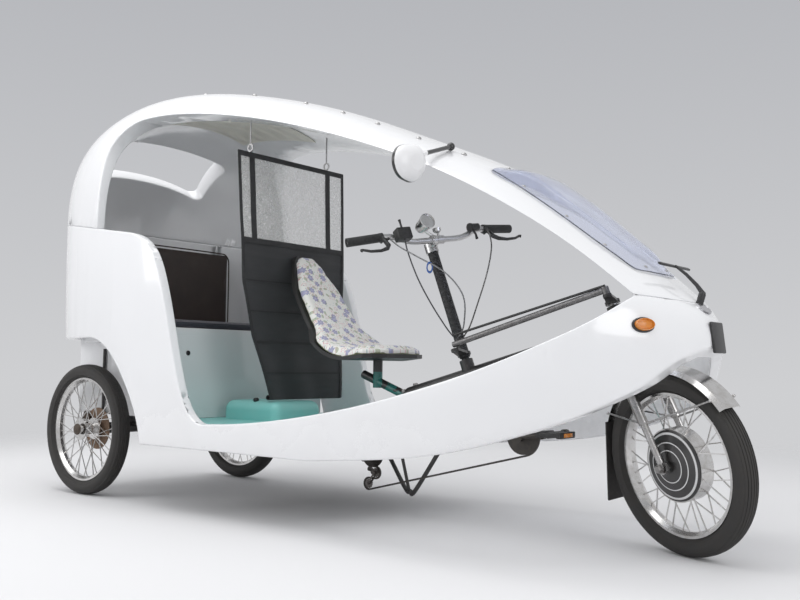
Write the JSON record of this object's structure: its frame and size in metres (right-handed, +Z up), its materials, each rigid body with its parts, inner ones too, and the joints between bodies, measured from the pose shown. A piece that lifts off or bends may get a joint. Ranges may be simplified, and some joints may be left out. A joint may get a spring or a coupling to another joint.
{
  "type": "cycle rickshaw",
  "caption": "Three-wheeled pedal rickshaw with an egg-shaped open-sided cabin, a rear passenger bench, a rider's seat and a steered front wheel with a hub motor.",
  "frame": {"origin": "bottom centre of the whole vehicle's box, on the ground midway along it", "axes": "+X forward, +Y to the rider's left, +Z up"},
  "size_m": [3.1504, 1.1126, 1.7277],
  "materials": {
    "white_shell": "gloss white moulded shell",
    "clear_screen": "clear",
    "clear_sheet": "clear soft sheet",
    "black_fabric": "matte woven",
    "flower_fabric": "printed cotton",
    "brown_pad": "matte coated",
    "dark_cushion": "matte",
    "black_steel": "satin black",
    "black_plastic": "matte black",
    "aqua_paint": "satin aqua",
    "floor_paint": "satin aqua",
    "bright_metal": "satin",
    "chrome_metal": "polished",
    "rusty_steel": "rusted",
    "tyre_rubber": "matte",
    "flap_rubber": "matte",
    "chain_steel": "dull"
  },
  "bodies": {
    "cabin": {"bench_back_pad": "brown_pad", "bench_base": "white_shell", "bench_cushion": "dark_cushion", "curtain_fabric": "black_fabric", "curtain_hangers": "chrome_metal", "curtain_window": "clear_sheet", "drive_chain": "chain_steel", "drive_hump": "aqua_paint", "floor_panel": "floor_paint", "gear_cluster": "chain_steel", "lower_shell": "white_shell", "main_frame": "black_steel", "mirror": "black_plastic", "rider_seat": "black_plastic", "rider_seat_cover": "flower_fabric", "upper_shell": "white_shell", "windscreen": "clear_screen"},
    "rear_wheel_right": {"rear_wheel_right": "chrome_metal", "rear_tyre_right": "tyre_rubber", "brake_disc_right": "rusty_steel"},
    "rear_wheel_left": {"rear_wheel_left": "chrome_metal", "rear_tyre_left": "tyre_rubber", "brake_disc_left": "rusty_steel"},
    "fork": {"fork": "bright_metal", "fork_arm": "black_steel", "front_mudguard": "chrome_metal", "mud_flap": "flap_rubber"},
    "front_wheel": {"hub_motor": "black_steel", "front_rim": "chrome_metal", "front_tyre": "tyre_rubber"},
    "column": {"steering_column": "black_steel", "column_arm": "black_steel", "handlebar": "bright_metal", "grips": "black_plastic"},
    "drag_link": {"drag_link": "bright_metal"},
    "crankset": {"crankset": "black_steel"},
    "pedal_right": {"pedal_right": "black_plastic"},
    "pedal_left": {"pedal_left": "black_plastic"}
  },
  "joints": [
    {"name": "fork_steer", "type": "hinge", "parent": "cabin", "child": "fork", "pos_m": [1.29044, 0, 0.26082], "axis": [-0.3584, 0, 0.9336], "range_deg": [-10.5, 59.5]},
    {"name": "column_steer", "type": "hinge", "parent": "cabin", "child": "column", "pos_m": [0.53318, 0, 0.585], "axis": [-0.3584, 0, 0.9336], "range_deg": [-10.5, 59.5]},
    {"name": "drag_link_swing", "type": "hinge", "parent": "column", "child": "drag_link", "pos_m": [0.56159, -0.10004, 0.60876], "axis": [-0.3584, 0, 0.9336], "range_deg": [-59.5, 10.5]},
    {"name": "front_wheel_spin", "type": "hinge", "parent": "fork", "child": "front_wheel", "pos_m": [1.31932, -0.0141, 0.2719], "axis": [0.3871, 0.91, 0.1486], "continuous": true},
    {"name": "rear_wheel_right_spin", "type": "hinge", "parent": "cabin", "child": "rear_wheel_right", "pos_m": [-1.11882, -0.43, 0.273], "axis": [0, 1, 0], "continuous": true},
    {"name": "rear_wheel_left_spin", "type": "hinge", "parent": "cabin", "child": "rear_wheel_left", "pos_m": [-1.11882, 0.43, 0.273], "axis": [0, 1, 0], "continuous": true},
    {"name": "crank_spin", "type": "hinge", "parent": "cabin", "child": "crankset", "pos_m": [0.80118, 0, 0.325], "axis": [0, 1, 0], "continuous": true},
    {"name": "pedal_right_spin", "type": "hinge", "parent": "crankset", "child": "pedal_right", "pos_m": [0.96991, -0.12, 0.34572], "axis": [0, 1, 0], "continuous": true},
    {"name": "pedal_left_spin", "type": "hinge", "parent": "crankset", "child": "pedal_left", "pos_m": [0.63245, 0.12, 0.30428], "axis": [0, 1, 0], "continuous": true}
  ],
  "couplings": [
    {"joint": "column_steer", "follows": "fork_steer", "ratio": 1},
    {"joint": "drag_link_swing", "follows": "fork_steer", "ratio": -1}
  ]
}
